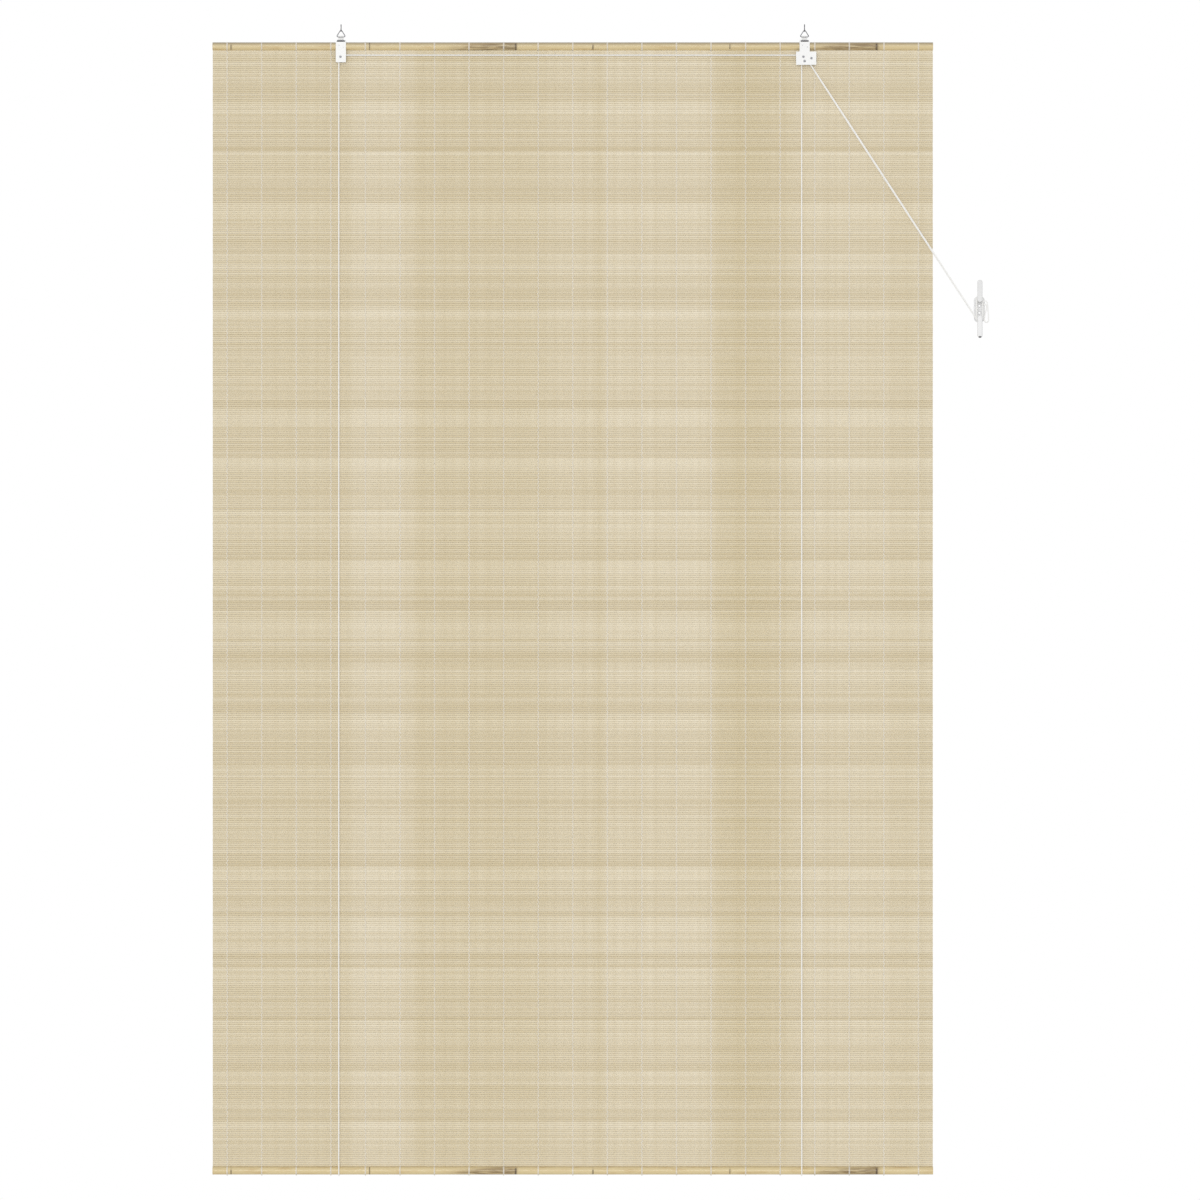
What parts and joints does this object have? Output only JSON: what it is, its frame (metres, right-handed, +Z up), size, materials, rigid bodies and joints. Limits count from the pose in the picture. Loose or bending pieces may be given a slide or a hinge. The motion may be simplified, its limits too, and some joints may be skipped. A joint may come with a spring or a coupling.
{
  "type": "bamboo roll up blind",
  "caption": "Woven bamboo reed blind with half-round slats, a pulley bracket, a cord lock, wire hanging hooks, lift cords and a wall cleat.",
  "frame": {"origin": "midway between the two hanging hooks, on the line of the rods they hang from", "axes": "+X to the right seen from the room, +Y towards the window or wall, +Z up"},
  "size_m": [1.5082, 0.0284, 2.2378],
  "materials": {
    "slat": "satin",
    "reed": "matte",
    "thread": "matte",
    "white_paint": "gloss",
    "dark_steel": "satin",
    "rivet_steel": "satin",
    "roller_plastic": "gloss",
    "wire": "satin",
    "cord": "matte",
    "cleat_plastic": "gloss"
  },
  "bodies": {
    "head": {"head_slat": "slat", "reed_mat": "reed", "warp_threads": "thread", "head_bindings": "thread", "left_front_plate": "white_paint", "left_back_plate": "white_paint", "right_front_plate": "white_paint", "right_back_plate": "white_paint", "left_slat_pin": "dark_steel", "right_slat_pin": "dark_steel", "rivets": "rivet_steel", "bracket_nails": "rivet_steel", "left_lift_cord": "cord", "right_lift_cord": "cord", "left_pull_cord": "cord", "right_pull_cord": "cord", "cord_turns": "cord", "cord_bight": "cord", "cord_knots": "cord", "cleat": "cleat_plastic"},
    "bottom_bar": {"bottom_slat": "slat", "bottom_bindings": "thread"},
    "left_ring": {"left_triangle": "wire"},
    "right_ring": {"right_triangle": "wire"},
    "left_hanger": {"left_hook": "wire"},
    "right_hanger": {"right_hook": "wire"},
    "left_wheel": {"left_roller": "roller_plastic"},
    "right_wheel": {"right_roller": "roller_plastic"},
    "lock_wheel": {"lock_roller": "roller_plastic"},
    "pawl": {"lock_pawl": "dark_steel"}
  },
  "joints": [
    {"name": "blind_rise", "type": "slide", "parent": "head", "child": "bottom_bar", "axis": [0, 0.003, 1], "range_m": [0, 2.05], "deforming": ["reed_mat", "warp_threads", "left_lift_cord", "right_lift_cord"]},
    {"name": "left_ring_swing", "type": "hinge", "parent": "head", "child": "left_ring", "pos_m": [-0.4504, 0, -0.02108], "axis": [1, 0, 0], "range_deg": [-80, 80]},
    {"name": "right_ring_swing", "type": "hinge", "parent": "head", "child": "right_ring", "pos_m": [0.4504, 0, -0.02108], "axis": [1, 0, 0], "range_deg": [-80, 80]},
    {"name": "left_hook_swing", "type": "hinge", "parent": "left_ring", "child": "left_hanger", "pos_m": [-0.4504, 0, -0.0079], "axis": [1, 0, 0], "range_deg": [-75, 75]},
    {"name": "right_hook_swing", "type": "hinge", "parent": "right_ring", "child": "right_hanger", "pos_m": [0.4504, 0, -0.0079], "axis": [1, 0, 0], "range_deg": [-75, 75]},
    {"name": "left_roller_spin", "type": "hinge", "parent": "head", "child": "left_wheel", "pos_m": [-0.4512, -0.00558, -0.06038], "axis": [0, 1, 0], "continuous": true},
    {"name": "right_roller_spin", "type": "hinge", "parent": "head", "child": "right_wheel", "pos_m": [0.448, -0.00558, -0.06038], "axis": [0, 1, 0], "continuous": true},
    {"name": "lock_roller_spin", "type": "hinge", "parent": "head", "child": "lock_wheel", "pos_m": [0.4503, -0.00558, -0.06888], "axis": [0, 1, 0], "continuous": true},
    {"name": "pawl_swing", "type": "hinge", "parent": "head", "child": "pawl", "pos_m": [0.4635, -0.00558, -0.06328], "axis": [0, -1, 0], "range_deg": [0, 35]}
  ]
}
